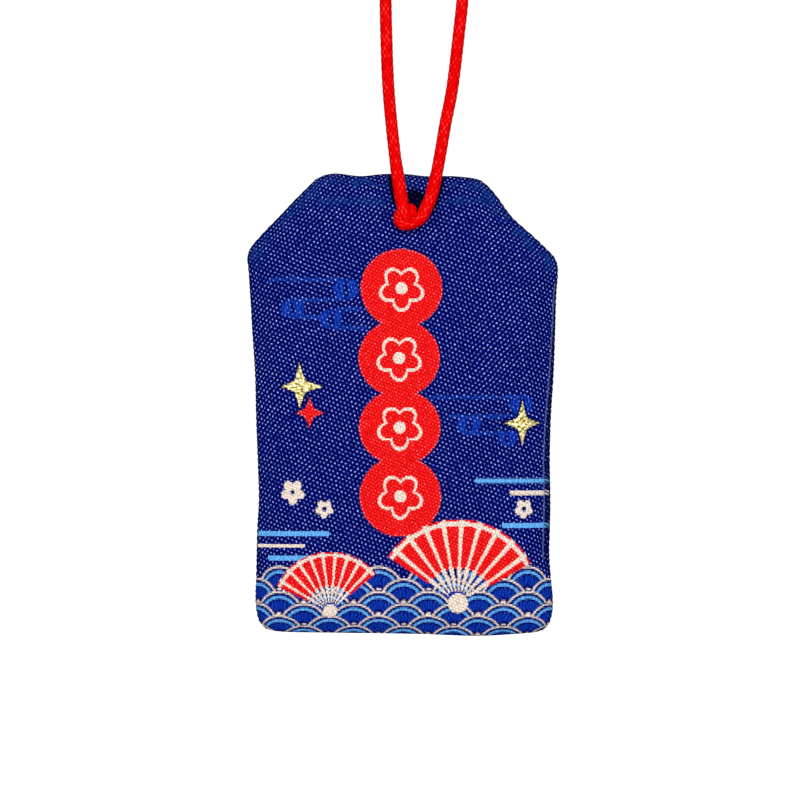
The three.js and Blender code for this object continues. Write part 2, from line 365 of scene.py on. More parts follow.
class CharmColours(bpy.types.PropertyGroup):
    """Colours of the cloth and the cord."""

    ground: colour_property("Ground", "Navy ground yarn", (0.0, 0.0, 0.058))
    float_yarn: colour_property("Float", "Pale yarn that floats over the ground", (0.52, 0.55, 1.0))
    cloud: colour_property("Cloud", "Blue of the tone-on-tone clouds", (0.007, 0.065, 0.5))
    sky: colour_property("Sky", "Pale blue of the border", (0.06, 0.3, 0.72))
    red: colour_property("Red", "Red of the discs and fans", (0.75, 0.006, 0.007))
    cord: colour_property("Cord", "Red of the braided cord", (0.93, 0.0005, 0.001))


def mm(name):
    """One of the charm's sizes, in millimetres."""
    return getattr(bpy.context.scene.charm_sizes, name) / MM


def carriers():
    return bpy.context.scene.charm_sizes.carriers


def colours():
    return bpy.context.scene.charm_colours


# Curves

def smooth_path(points, step):
    """A smooth curve through the points, as places a step apart. It bends as the cord's solid does."""
    points = np.array(points, float)
    padded = np.vstack([2 * points[0] - points[1], points, 2 * points[-1] - points[-2]])
    spans = np.linalg.norm(np.diff(padded, axis=0), axis=1) ** 0.5
    fine = []
    for i in range(len(points) - 1):
        before, start, end, after = padded[i:i + 4]
        d0, d1, d2 = spans[i:i + 3]
        leave = d1 * ((start - before) / d0 - (end - before) / (d0 + d1) + (end - start) / d1)
        arrive = d1 * ((end - start) / d1 - (after - start) / (d1 + d2) + (after - end) / d2)
        t = np.linspace(0, 1, 60, endpoint=False)[:, None]
        fine.append(
            (2 * t**3 - 3 * t**2 + 1) * start + (t**3 - 2 * t**2 + t) * leave
            + (3 * t**2 - 2 * t**3) * end + (t**3 - t**2) * arrive
        )
    return even_path(np.vstack([*fine, points[-1:]]), step)


def places_along(line):
    """How far along the line each of its points is."""
    return np.concatenate([[0], np.cumsum(np.linalg.norm(np.diff(line, axis=0), axis=1))])


def path_length(line):
    return float(places_along(line)[-1])


def spaced(line, count):
    """A number of evenly spaced points along a line."""
    along = places_along(line)
    places = np.linspace(0, along[-1], count)
    return np.column_stack([np.interp(places, along, line[:, axis]) for axis in range(line.shape[1])])


def even_path(line, step):
    """The same line with its points evenly spaced, about a step apart."""
    return spaced(line, max(2, int(round(path_length(line) / step)) + 1))


def path_frames(line):
    """Two directions square to the line at each point, which turn with it and don't twist."""
    tangents = np.gradient(line, axis=0)
    tangents /= np.linalg.norm(tangents, axis=1)[:, None]
    first = np.cross(tangents[0], (0.0, 1.0, 0.2))
    first /= np.linalg.norm(first)
    sides = [first]
    for tangent in tangents[1:]:
        side = sides[-1] - tangent * (sides[-1] @ tangent)
        sides.append(side / np.linalg.norm(side))
    sides = np.array(sides)
    return sides, np.cross(tangents, sides)


# Meshes

def add_mesh(name, vertices, faces, uv=None):
    """A smooth-shaded mesh object from places in millimetres, with a UV pair for each face corner."""
    mesh = bpy.data.meshes.new(name)
    mesh.from_pydata((np.asarray(vertices) * MM).tolist(), [], [list(face) for face in faces])
    if uv is not None:
        layer = mesh.uv_layers.new(name="Lay")
        layer.data.foreach_set("uv", np.asarray(uv, np.float32).ravel())
    mesh.polygons.foreach_set("use_smooth", np.ones(len(mesh.polygons), bool))
    mesh.update()
    piece = bpy.data.objects.new(name, mesh)
    bpy.context.scene.collection.objects.link(piece)
    return piece


def read_points(piece):
    """A piece's points, in millimetres."""
    flat = np.zeros(len(piece.data.vertices) * 3)
    piece.data.vertices.foreach_get("co", flat)
    return flat.reshape(-1, 3) / MM


def write_points(piece, points):
    piece.data.vertices.foreach_set("co", (points * MM).ravel())
    piece.data.update()


def make_active(piece):
    bpy.ops.object.select_all(action="DESELECT")
    piece.select_set(True)
    bpy.context.view_layer.objects.active = piece


def finish_piece(piece, material, slot, *nodes):
    piece.data.materials.append(material)
    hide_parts(*nodes)
    return piece


def join_parts(parts):
    """Vertices, faces and UV pairs of several tubes as one set."""
    vertices, faces, uv, count = [], [], [], 0
    for part_vertices, part_faces, part_uv in parts:
        vertices.append(part_vertices)
        faces.extend([[corner + count for corner in face] for face in part_faces])
        uv.extend(part_uv)
        count += len(part_vertices)
    return np.vstack(vertices), faces, uv


def tube_part(line, ring_radius, sides, along=None):
    """A closed tube round a line. ring_radius gives its radii from the angle and the place along it."""
    across, up = path_frames(line)
    if along is None:
        along = places_along(line)
    angle = 2 * math.pi * np.arange(sides) / sides
    radius = ring_radius(angle[None, :], along[:, None])
    rings = (
        line[:, None, :]
        + (radius * np.cos(angle))[:, :, None] * across[:, None, :]
        + (radius * np.sin(angle))[:, :, None] * up[:, None, :]
    )
    count = len(line)
    vertices = np.vstack([rings.reshape(-1, 3), line[0], line[-1]])
    faces, uv = [], []
    for ring in range(count - 1):
        for side in range(sides):
            here = ring * sides + side
            after = ring * sides + (side + 1) % sides
            faces.append((here, after, after + sides, here + sides))
            left, right = side / sides, (side + 1) / sides
            low, high = along[ring] / CORD_UV, along[ring + 1] / CORD_UV
            uv += [(left, low), (right, low), (right, high), (left, high)]
    first, last = count * sides, count * sides + 1
    for side in range(sides):
        after = (side + 1) % sides
        faces.append((first, after, side))
        faces.append((last, (count - 1) * sides + side, (count - 1) * sides + after))
        for end in (along[0] / CORD_UV, along[-1] / CORD_UV):
            uv += [(side / sides, end)] * 3
    return vertices, faces, uv


def braid_height(angle, along):
    """Height of the braid's surface, 0 to 1, from the angle round the cord and the place along it."""
    turn = carriers() * angle / (2 * math.pi)
    climb = along / mm("braid_step")
    right, left = turn + climb, turn - climb
    on_top = (np.floor(right) + np.floor(left)) % 2 < 1
    width = np.where(on_top, right % 1, left % 1) - 0.5
    length = np.where(on_top, left % 1, right % 1) - 0.5
    return np.sqrt(1 - (1.8 * width) ** 2) * (0.45 + 0.55 * np.cos(math.pi * length))


def cord_tube(line, shrink=1.0, start=0.0, taper=None):
    """One length of braided cord. start is how far along the whole cord it begins."""
    relief = mm("braid_relief")
    core = mm("cord") / 2 - 0.4 * relief
    along = start + places_along(line)

    def radius(angle, place):
        size = shrink * (core + relief * braid_height(angle, place))
        return size if taper is None else size * taper(place - start)

    return tube_part(line, radius, 5 * carriers(), along)


# Shader values

class Field:
    """A value that changes over a surface, built as Math nodes by plain arithmetic."""

    def __init__(self, tree, socket):
        self.tree = tree
        self.socket = socket

    def math(self, operation, *others):
        node = self.tree.nodes.new("ShaderNodeMath")
        node.operation = operation
        for slot, value in zip(node.inputs, (self, *others)):
            if isinstance(value, Field):
                self.tree.links.new(value.socket, slot)
            else:
                slot.default_value = value
        return Field(self.tree, node.outputs[0])

    def __add__(self, other):
        return self.math("ADD", other)

    def __sub__(self, other):
        return self.math("SUBTRACT", other)

    def __mul__(self, other):
        return self.math("MULTIPLY", other)

    def __truediv__(self, other):
        return self.math("DIVIDE", other)

    def __pow__(self, other):
        return self.math("POWER", other)

    def __mod__(self, other):
        return self.math("FLOORED_MODULO", other)

    def __neg__(self):
        return self.math("MULTIPLY", -1.0)

    def __abs__(self):
        return self.math("ABSOLUTE")

    def flipped(self):
        """1 less this value."""
        return (-self) + 1.0

    def least(self, other):
        return self.math("MINIMUM", other)

    def most(self, other):
        return self.math("MAXIMUM", other)

    def rise(self, low, high):
        """0 below low, 1 above high, and smooth between."""
        node = self.tree.nodes.new("ShaderNodeMapRange")
        node.interpolation_type = "SMOOTHSTEP"
        self.tree.links.new(self.socket, node.inputs["Value"])
        node.inputs["From Min"].default_value = low
        node.inputs["From Max"].default_value = high
        return Field(self.tree, node.outputs["Result"])

    def inside(self, blur=0.07):
        """1 where a distance is below nothing, with a narrow soft edge."""
        return self.rise(-blur, blur).flipped()

    def wave(self):
        """A cosine wave, one to each whole step of this value."""
        return (self * (2 * math.pi)).math("COSINE")

    def scatter(self):
        """Values from 0 to 1 that jump about with this value."""
        return (self.math("SINE") * 43758.5).math("FRACT")


def length_of(across, up):
    return (across * across + up * up) ** 0.5


def blend_colours(tree, mask, below, above):
    """One colour over another by a mask. A colour is a socket or three numbers."""
    node = tree.nodes.new("ShaderNodeMix")
    node.data_type = "RGBA"
    tree.links.new(mask.socket, node.inputs["Factor"])
    for name, colour in (("A", below), ("B", above)):
        slot = next(s for s in node.inputs if s.name == name and s.type == "RGBA")
        if isinstance(colour, bpy.types.NodeSocket):
            tree.links.new(colour, slot)
        else:
            slot.default_value = (*colour, 1.0)
    return next(s for s in node.outputs if s.type == "RGBA")


def ramp_colours(tree, value, stops):
    """Colours along a value from 0 to 1. Each stop is a place and a colour."""
    node = tree.nodes.new("ShaderNodeValToRGB")
    elements = node.color_ramp.elements
    while len(elements) < len(stops):
        elements.new(1.0)
    for element, (place, colour) in zip(elements, stops):
        element.position = place
        element.color = (*colour, 1.0)
    tree.links.new(value.socket, node.inputs["Fac"])
    return node.outputs["Color"]


def new_material(name, roughness, specular, sheen=0.0, sheen_tint=(1.0, 1.0, 1.0)):
    """A material with one Principled shader, and that shader."""
    material = bpy.data.materials.new(name)
    material.use_nodes = True
    shader = material.node_tree.nodes["Principled BSDF"]
    shader.inputs["Roughness"].default_value = roughness
    shader.inputs["Specular IOR Level"].default_value = specular
    shader.inputs["Sheen Weight"].default_value = sheen
    shader.inputs["Sheen Roughness"].default_value = 0.4
    shader.inputs["Sheen Tint"].default_value = (*sheen_tint, 1.0)
    return material, material.node_tree, shader


def set_bump(tree, shader, height, distance, strength=1.0):
    bump = tree.nodes.new("ShaderNodeBump")
    bump.inputs["Strength"].default_value = strength
    bump.inputs["Distance"].default_value = distance
    tree.links.new(height.socket, bump.inputs["Height"])
    tree.links.new(bump.outputs["Normal"], shader.inputs["Normal"])


def lay_fields(tree):
    """The piece's own UV map as two values, across and along."""
    uv = tree.nodes.new("ShaderNodeUVMap")
    uv.uv_map = "Lay"
    split = tree.nodes.new("ShaderNodeSeparateXYZ")
    tree.links.new(uv.outputs["UV"], split.inputs["Vector"])
    return Field(tree, split.outputs["X"]), Field(tree, split.outputs["Y"])


def add_noise(tree, vector, scale, detail):
    node = tree.nodes.new("ShaderNodeTexNoise")
    node.inputs["Scale"].default_value = scale
    node.inputs["Detail"].default_value = detail
    tree.links.new(vector, node.inputs["Vector"])
    return node


def noise_field(tree, vector, scale, detail=2.0):
    return Field(tree, add_noise(tree, vector, scale, detail).outputs["Fac"])


def noise_pair(tree, vector, scale, detail=1.0):
    """Two values that wander about nothing, each its own way."""
    split = tree.nodes.new("ShaderNodeSeparateColor")
    tree.links.new(add_noise(tree, vector, scale, detail).outputs["Color"], split.inputs["Color"])
    return Field(tree, split.outputs["Red"]) - 0.5, Field(tree, split.outputs["Green"]) - 0.5


def object_place(tree):
    return tree.nodes.new("ShaderNodeTexCoord").outputs["Object"]


def flat_vector(tree, across, up):
    """Two values as one vector, for a texture that is drawn out along the cloth."""
    node = tree.nodes.new("ShaderNodeCombineXYZ")
    tree.links.new(across.socket, node.inputs["X"])
    tree.links.new(up.socket, node.inputs["Y"])
    return node.outputs["Vector"]


def attribute_field(tree, name):
    node = tree.nodes.new("ShaderNodeAttribute")
    node.attribute_name = name
    return Field(tree, node.outputs["Fac"])


def fibre_group():
    """Fine fibres and soft blotches, for yarn, paper, card and cotton alike."""
    name = "fibre_grain"
    if name in bpy.data.node_groups:
        return bpy.data.node_groups[name]
    tree = bpy.data.node_groups.new(name, "ShaderNodeTree")
    for socket, way, kind in (
        ("Vector", "INPUT", "NodeSocketVector"),
        ("Fine scale", "INPUT", "NodeSocketFloat"),
        ("Broad scale", "INPUT", "NodeSocketFloat"),
        ("Fine", "OUTPUT", "NodeSocketFloat"),
        ("Broad", "OUTPUT", "NodeSocketFloat"),
    ):
        tree.interface.new_socket(socket, in_out=way, socket_type=kind)
    inside = tree.nodes.new("NodeGroupInput")
    outside = tree.nodes.new("NodeGroupOutput")
    for scale, result, detail in (("Fine scale", "Fine", 6.0), ("Broad scale", "Broad", 3.0)):
        noise = tree.nodes.new("ShaderNodeTexNoise")
        noise.inputs["Detail"].default_value = detail
        tree.links.new(inside.outputs["Vector"], noise.inputs["Vector"])
        tree.links.new(inside.outputs[scale], noise.inputs["Scale"])
        tree.links.new(noise.outputs["Fac"], outside.inputs[result])
    return tree


def add_fibres(tree, vector, fine_scale, broad_scale):
    node = tree.nodes.new("ShaderNodeGroup")
    node.node_tree = fibre_group()
    tree.links.new(vector, node.inputs["Vector"])
    node.inputs["Fine scale"].default_value = fine_scale
    node.inputs["Broad scale"].default_value = broad_scale
    return Field(tree, node.outputs["Fine"]), Field(tree, node.outputs["Broad"])


# Stage

class CHARM_OT_stage(bpy.types.Operator):
    """Sets the camera square to the pouch's front, with soft light, a white surround and a pale floor"""

    bl_idname = "charm.stage"
    bl_label = "Stage"

    def execute(self, context):
        scene = context.scene
        scene.view_settings.view_transform = "Standard"
        picture_width = 148.2 * MM
        aim = Vector((-0.648 * MM, 0.0, -113.9 * MM))
        distance = 0.9
        camera = bpy.data.cameras.new("front_camera")
        camera.lens = camera.sensor_width * distance / picture_width
        stand = bpy.data.objects.new("front_camera", camera)
        stand.location = aim + Vector((0.0, -distance, 0.0))
        stand.rotation_euler = (math.pi / 2, 0.0, 0.0)
        scene.collection.objects.link(stand)
        scene.camera = stand
        for name, place, size, power in (
            ("key_light", (0.06, -0.85, 0.03), 0.3, 6.2),
            ("fill_light", (-0.5, -0.65, 0.05), 0.5, 1.0),
            ("back_light", (0.2, 0.75, 0.3), 0.5, 5.0),
        ):
            lamp = bpy.data.lights.new(name, "AREA")
            lamp.size = size
            lamp.energy = power
            light = bpy.data.objects.new(name, lamp)
            light.location = place
            light.rotation_euler = (aim - Vector(place)).to_track_quat("-Z", "Y").to_euler()
            scene.collection.objects.link(light)
        self.surround(scene)
        self.floor()
        return {"FINISHED"}

    def surround(self, scene):
        """A plain white surround that lights the charm less than it shows."""
        world = bpy.data.worlds.new("white_surround")
        world.use_nodes = True
        tree = world.node_tree
        shade = tree.nodes["Background"]
        shade.inputs["Color"].default_value = (1.0, 1.0, 1.0, 1.0)
        path = tree.nodes.new("ShaderNodeLightPath")
        seen = Field(tree, path.outputs["Is Camera Ray"])
        tree.links.new((seen * 0.85 + 0.25).socket, shade.inputs["Strength"])
        scene.world = world

    def floor(self):
        """A pale floor that shows as white as the surround, and throws little light back."""
        bpy.ops.object.select_all(action="DESELECT")
        bpy.ops.mesh.primitive_plane_add(size=12.0, location=(0.0, 0.0, -0.2))
        floor = bpy.context.active_object
        floor.name = "floor"
        bpy.ops.object.transform_apply(location=True, rotation=True, scale=True)
        material, tree, shader = new_material("pale_floor", 0.9, 0.1)
        grain, _ = add_fibres(tree, object_place(tree), 40.0, 4.0)
        paint = blend_colours(tree, grain, (0.3, 0.3, 0.3), (0.34, 0.34, 0.34))
        tree.links.new(paint, shader.inputs["Base Color"])
        shader.inputs["Emission Color"].default_value = (1.0, 1.0, 1.0, 1.0)
        seen = tree.nodes.new("ShaderNodeLightPath").outputs["Is Camera Ray"]
        tree.links.new(seen, shader.inputs["Emission Strength"])
        floor.data.materials.append(material)


# Cord

def cord_material():
    """Braided red cord: flecked yarns with fibres, a painted highlight on each crown and painted shade
    between.
    """
    if "braided_cord" in bpy.data.materials:
        return bpy.data.materials["braided_cord"]
    material, tree, shader = new_material("braided_cord", 0.6, 0.02)
    around, lengthwise = lay_fields(tree)
    turn = around * float(carriers())
    climb = lengthwise * (CORD_UV / mm("braid_step"))
    right, left = turn + climb, turn - climb
    on_top = (right.math("FLOOR") + left.math("FLOOR")) % 2.0
    right_part, left_part = right.math("FRACT") - 0.5, left.math("FRACT") - 0.5
    width = right_part + (left_part - right_part) * on_top
    length = left_part + (right_part - left_part) * on_top
    crown = (length / 2.0).wave()
    yarn = (width * width * -3.2 + 1.0) * (crown * 0.6 + 0.4)
    ply = ((width * 22.0 + length * 7.0).math("COSINE") * 0.5 + 0.5) * 0.25
    fine, broad = add_fibres(tree, object_place(tree), 9000.0, 900.0)
    crossing = right.math("FLOOR") * 12.9898 + left.math("FLOOR") * 78.233
    luck = crossing.scatter()
    streak = (width * width * -7.0 + 1.0) * (crown * 0.7 + 0.3)
    fleck_and_shade = yarn * 0.42 + streak.most(0.0) * (luck * 0.9 + broad * 0.6 - 0.45) + (fine - 0.5) * 0.5 + 0.05
    # The ramp's dark stops are painted shade in the gaps between the yarns, and its palest stop a painted
    # highlight on their crowns.
    paint = ramp_colours(tree, fleck_and_shade, (
        (0.0, (0.42, 0.0, 0.0)),
        (0.3, (0.8, 0.0, 0.0003)),
        (0.58, tuple(colours().cord)),
        (0.95, (1.0, 0.032, 0.028)),
    ))
    tree.links.new(paint, shader.inputs["Base Color"])
    set_bump(tree, shader, yarn + ply + fine * 0.2, 0.0001, 0.7)
    return material


def strand_line(route, top_x, tuck):
    """The strand's line from its hanging end down to the knot, and on through the knot."""

    def hang(across, height):
        return (across, KNOT[1] * (1 - height / HANG_DROP), height - HANG_DROP)

    above = [hang(top_x, HANG_DROP)] + [hang(*point) for point in reversed(route)]
    below = [(across, depth, height - HANG_DROP) for across, depth, height in tuck]
    line = smooth_path(above + below, CORD_STEP)
    split = int(np.argmin(np.linalg.norm(line - np.array(below[0]), axis=1)))
    return line[:split + 1], line[split:]


def pressed_width(flare, end):
    """A strand's width along it, which grows where the strand is pressed on the hem."""

    def width(place):
        return 1 + flare * np.clip((place - end + PRESSED_LENGTH) / 3, 0, 1)

    return width


def tight_width(flare):
    """A strand's width in the hitch, from pressed wide to pulled tight."""

    def width(place):
        return 1 + flare - (flare + TIGHT_SHARE) * np.clip(place / 2.5, 0, 1)

    return width


class CHARM_OT_strands(bpy.types.Operator):
    """Lays the two sides of the cord loop, from the hanging point down to the front knot"""

    bl_idname = "charm.strands"
    bl_label = "Cord strands"

    def execute(self, context):
        for name, (route, top_x, tuck, flare) in zip(("left_strand_cord", "right_strand_cord"), CORD_SIDES):
            line, _ = strand_line(route, top_x, tuck)
            strand = add_mesh(name, *cord_tube(line, taper=pressed_width(flare, path_length(line))))
            finish_piece(strand, cord_material(), "cord", name.replace("_cord", ""))
            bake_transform(strand)
            path = line[::-1] * MM
            mm("cord") * MM
        return {"FINISHED"}


class CHARM_OT_front_hitch(bpy.types.Operator):
    """Ties the half hitch in front of the pouch's mouth, where both strands go into the cloth"""

    bl_idname = "charm.front_hitch"
    bl_label = "Front hitch"

    def execute(self, context):
        parts = []
        for route, top_x, tuck, flare in CORD_SIDES:
            above, below = strand_line(route, top_x, tuck)
            parts.append(cord_tube(below, start=path_length(above), taper=tight_width(flare)))
        hitch = add_mesh("front_hitch", *join_parts(parts))
        finish_piece(hitch, cord_material(), "cord", "front_knot")
        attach(hitch, "knot")
        return {"FINISHED"}


class CHARM_OT_back_bight(bpy.types.Operator):
    """Bends the cord across the pouch's back, between its two holes"""

    bl_idname = "charm.back_bight"
    bl_label = "Back bight"

    def execute(self, context):
        low, high = (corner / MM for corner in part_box("cord_bight"))
        middle_x = (low.x + high.x) / 2
        radius = mm("cord") / 2
        reach = (high.x - low.x) / 2 - radius
        bend_y = high.y - radius - reach
        height = (low.z + high.z) / 2
        leg_depths = (-0.3, 0.5, bend_y - 0.6)
        points = [(middle_x + reach, y, height) for y in leg_depths]
        for angle in np.linspace(0.1, math.pi - 0.1, 9):
            points.append((middle_x + reach * math.cos(angle), bend_y + reach * math.sin(angle), height))
        points += [(middle_x - reach, y, height) for y in reversed(leg_depths)]
        bight = add_mesh("back_bight", *cord_tube(smooth_path(points, CORD_STEP)))
        finish_piece(bight, cord_material(), "cord", "cord_bight")
        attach(bight, "pouch")
        return {"FINISHED"}


class CHARM_OT_end_knot(bpy.types.Operator):
    """Whips the cord's two ends together above the hanging point, with the ends left standing"""

    bl_idname = "charm.end_knot"
    bl_label = "End knot"

    def execute(self, context):
        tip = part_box("end_knot")[1].z / MM
        wraps, wrap_low, wrap_high = 3, 1.0, 5.4
        wrap_across, wrap_deep = 2.6, 1.75
        parts = []
        for side in (-1, 1):
            points = [
                (side * STRAND_TOP_X, 0.0, 0.0),
                (side * 0.95, 0.0, wrap_low),
                (side * 0.95, 0.0, wrap_high),
                (side * 1.5, 0.0, wrap_high + 2.5),
                (side * 2.5, 0.15 * side, tip - 0.4 * (side + 1)),
            ]
            parts.append(cord_tube(smooth_path(points, CORD_STEP)))
        turns = np.linspace(-0.1, wraps + 0.1, 60)
        wrap = np.column_stack([
            wrap_across * np.cos(2 * math.pi * turns),
            wrap_deep * np.sin(2 * math.pi * turns),
            wrap_low + (wrap_high - wrap_low) * np.clip(turns / wraps, 0, 1),
        ])
        wrap[:2, :2] *= 0.7
        wrap[-2:, :2] *= 0.7
        parts.append(cord_tube(smooth_path(wrap, CORD_STEP), shrink=0.92))
        knot = add_mesh("end_knot_whipping", *join_parts(parts))
        finish_piece(knot, cord_material(), "cord", "end_knot")
        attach(knot, "loop")
        return {"FINISHED"}


# Pouch

def pouch_outline():
    """The pouch's outline as four runs of points: the fold, the right edge, the mouth and the left edge.
    The fold and the mouth go from left to right, and the edges from the fold to the mouth."""
    heights, lefts, rights = np.array(SIDE_EDGES).T
    edges = {}
    for side, places in (("left", lefts), ("right", rights)):
        edges[side] = smooth_path(np.column_stack([places, heights]), OUTLINE_STEP)
    runs = {}
    for name, end, wave in (("fold", 0, FOLD_WAVE), ("mouth", -1, TOP_WAVE)):
        wave = smooth_path(wave, OUTLINE_STEP)
        across = np.linspace(edges["left"][end, 0], edges["right"][end, 0], 300)
        level = heights[end] + np.interp(across, wave[:, 0], wave[:, 1])
        runs[name] = np.column_stack([across, level])
        for side, corner in (("left", 0), ("right", -1)):
            edge = edges[side]
            nearness = np.clip(1 - np.abs(edge[:, 1] - edge[end, 1]) / 4, 0, 1) ** 2
            edge[:, 1] += (level[corner] - edge[end, 1]) * nearness
    return runs["fold"], edges["right"], runs["mouth"], edges["left"]


def outline_loop(runs):
    """The four runs as one anticlockwise loop."""
    fold, right, mouth, left = runs
    return np.vstack([fold[:-1], right[:-1], mouth[::-1][:-1], left[::-1][:-1]])


def nearest_edge(points, loop):
    """Each point's distance to the outline, and the direction from the point to it."""
    fine = even_path(np.vstack([loop, loop[:1]]), 0.1)
    tree = KDTree(len(fine))
    for number, (across, up) in enumerate(fine):
        tree.insert((across, up, 0.0), number)
    tree.balance()
    found = np.array([tree.find((across, up, 0.0))[0] for across, up in points])
    toward = found[:, :2] - points
    distance = np.linalg.norm(toward, axis=1)
    return distance, toward / np.maximum(distance, 1e-6)[:, None]


def run_normals(runs, counts):
    """Outward directions at evenly spaced points of each run, which turn gently round the corners."""
    spread = [spaced(run, count) for run, count in zip(runs, counts)]
    loop = outline_loop(spread)
    step = np.roll(loop, -2, axis=0) - np.roll(loop, 2, axis=0)
    normal = np.column_stack([step[:, 1], -step[:, 0]])
    normal = sum(weight * np.roll(normal, shift, axis=0) for shift, weight in ((-1, 1), (0, 2), (1, 1)))
    normal /= np.linalg.norm(normal, axis=1)[:, None]
    starts = np.cumsum([0] + [count - 1 for count in counts])
    parts = [normal[np.arange(starts[i], starts[i + 1] + 1) % len(normal)] for i in range(4)]
    return spread, [parts[0], parts[1], parts[2][::-1], parts[3][::-1]]


def crown_height(distance):
    """How far the cloth stands from the pouch's mid plane, at a distance in from the edge."""
    share = np.clip(distance / mm("crown_reach"), 0, 1)
    return RIM + mm("crown") * np.sqrt(1 - (1 - share) ** 2)


def fill_patch(fold, right, mouth, left):
    """The points inside four edges, drawn between opposite ones."""
    rows, columns = len(left), len(fold)
    up = np.linspace(0, 1, rows)[:, None, None]
    over = np.linspace(0, 1, columns)[None, :, None]
    return (
        (1 - up) * fold[None] + up * mouth[None]
        + (1 - over) * left[:, None] + over * right[:, None]
        - (1 - up) * (1 - over) * fold[0] - (1 - up) * over * fold[-1]
        - up * (1 - over) * mouth[0] - up * over * mouth[-1]
    )


def corner_share(count, spacing, reach=3.0):
    """Half at both ends of a run, falling to nothing within reach."""
    place = np.arange(count) * spacing
    nearest = np.minimum(place, place[::-1])
    return 0.5 * np.clip(1 - nearest / reach, 0, 1) ** 2


class PouchPanel:
    """One panel of the pouch as a grid: its points, their depth, and where they lay in the flat cloth."""

    def __init__(self, runs, columns, rows):
        rings = len(SIDE_TURN)
        self.place = np.zeros((rows, columns, 2))
        self.depth = np.zeros((rows, columns))
        self.flat = np.zeros((rows, columns, 2))
        self.rim = np.zeros((rows, columns), bool)
        loop = outline_loop(runs)
        self.lay_middle(runs, loop, columns - 2 * rings, rows - 2 * rings, rings)
        for ring in range(rings):
            self.lay_ring(runs, ring, columns - 2 * ring, rows - 2 * ring)

    def lay_middle(self, runs, loop, columns, rows, rings):
        """The crowned part inside the turned edges."""
        spread, normals = run_normals(runs, (columns, rows, columns, rows))
        edges = [points - CROWN_START * normal for points, normal in zip(spread, normals)]
        block = fill_patch(*edges)
        points = block.reshape(-1, 2)
        distance, outward = nearest_edge(points, loop)
        reach = mm("crown_reach")
        steps = np.linspace(0, reach, 400)
        slope = np.gradient(crown_height(steps), steps)
        spare = np.sqrt(1 + slope**2) - 1
        spare = np.cumsum(spare[::-1])[::-1] * (steps[1] - steps[0])
        spare = spare + EASE * np.exp(-steps / EASE_REACH)
        extra = np.interp(distance, steps, spare)
        inner = (slice(rings, rings + rows), slice(rings, rings + columns))
        self.place[inner] = block
        self.depth[inner] = crown_height(distance).reshape(rows, columns)
        self.flat[inner] = (points + outward * extra[:, None]).reshape(rows, columns, 2)
        self.edge_spare = float(np.interp(CROWN_START, steps, spare))

    def lay_ring(self, runs, ring, columns, rows):
        """One ring of points round the turned edges."""
        inner = (CROWN_START, crown_height(CROWN_START))
        counts = (columns, rows, columns, rows)
        spread, normals = run_normals(runs, counts)
        last_row, last_column = self.depth.shape[0] - 1 - ring, self.depth.shape[1] - 1 - ring
        targets = (
            (ring, slice(ring, last_column + 1)),
            (slice(ring, last_row + 1), last_column),
            (last_row, slice(ring, last_column + 1)),
            (slice(ring, last_row + 1), ring),
        )
        turns = (FOLD_TURN, SIDE_TURN, MOUTH_TURN, SIDE_TURN)
        for number, target in enumerate(targets):
            own = turns[number]
            share = corner_share(counts[number], mm("cloth_step"))[:, None]
            before, after = turns[number - 1], turns[(number + 1) % 4]
            profile = np.array(own + [inner])[None] * (1 - share[:, :, None])
            low_end = np.arange(counts[number]) < counts[number] / 2
            ends = (after, before) if number in (2, 3) else (before, after)
            for chosen, neighbour in ((low_end, ends[0]), (~low_end, ends[1])):
                profile[chosen] += np.array(neighbour + [inner])[None] * share[chosen, :, None]
            steps = np.linalg.norm(np.diff(profile[:, ring:], axis=1), axis=2).sum(1)
            inset, depth = profile[:, ring, 0], profile[:, ring, 1]
            self.place[target] = spread[number] - inset[:, None] * normals[number]
            self.depth[target] = depth
            reach = self.edge_spare - inner[0] + steps
            self.flat[target] = spread[number] + reach[:, None] * normals[number]
            self.rim[target] = True


def knot_distance(points):
    """How far points of the pouch's drawing are from the front knot, with the way round it."""
    across = points[..., 0] - KNOT[0]
    up = points[..., 1] - (KNOT[2] - POUCH_TOP)
    return np.hypot(across, up), np.arctan2(up, across)


def crease_share(points):
    """How far points of the pouch's drawing lie in the creases beside the strands, 0 to 1."""
    share = np.zeros(len(points))
    for (route, top_x, tuck, _), (aside, half) in zip(CORD_SIDES, CREASES):
        line, _ = strand_line(route, top_x, tuck)
        for place in line[:, [0, 2]] + (aside, -POUCH_TOP):
            if place[1] < 3:
                share = np.maximum(share, np.exp(-((np.hypot(*(points - place).T) / half) ** 2)))
    return share


